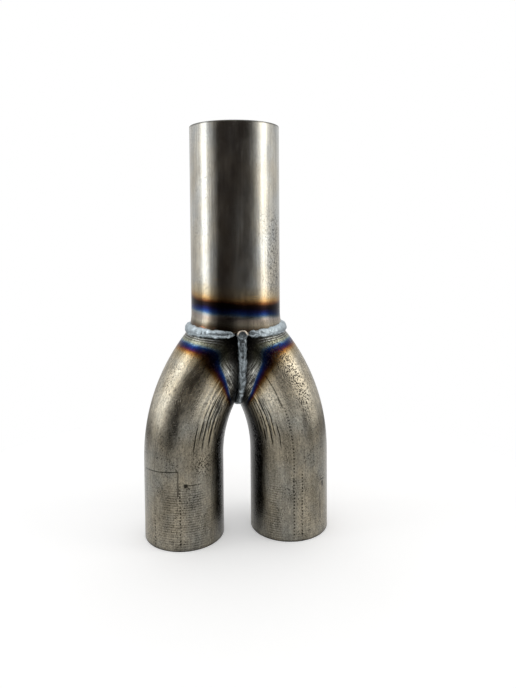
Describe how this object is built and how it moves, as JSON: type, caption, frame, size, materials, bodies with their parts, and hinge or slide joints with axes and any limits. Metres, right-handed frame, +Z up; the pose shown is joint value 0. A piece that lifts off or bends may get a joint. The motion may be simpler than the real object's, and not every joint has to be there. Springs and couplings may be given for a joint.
{
  "type": "two-into-one wye pipe",
  "caption": "Welded wye pipe: bent inlet tubes mitred together under one straight, wider outlet tube, with open weld beads along the valleys and round the collar.",
  "frame": {"origin": "in the plane of the two inlet ends, midway between their axes", "axes": "+Z up along the outlet's axis, X across the two inlets, -Y the front"},
  "size_m": [0.1198, 0.059, 0.261],
  "materials": {
    "outlet_steel": "bare drawn tube, satin, heat-tinted beside the weld",
    "inlet_steel": "bare bent tube, matte with draw marks, heat-tinted beside the welds",
    "weld_metal": "rippled weld bead, as welded"
  },
  "bodies": {
    "root": {"outlet_tube": "outlet_steel", "left_inlet_tube": "inlet_steel", "right_inlet_tube": "inlet_steel", "saddle_weld": "weld_metal", "left_collar_weld": "weld_metal", "right_collar_weld": "weld_metal"}
  },
  "joints": []
}
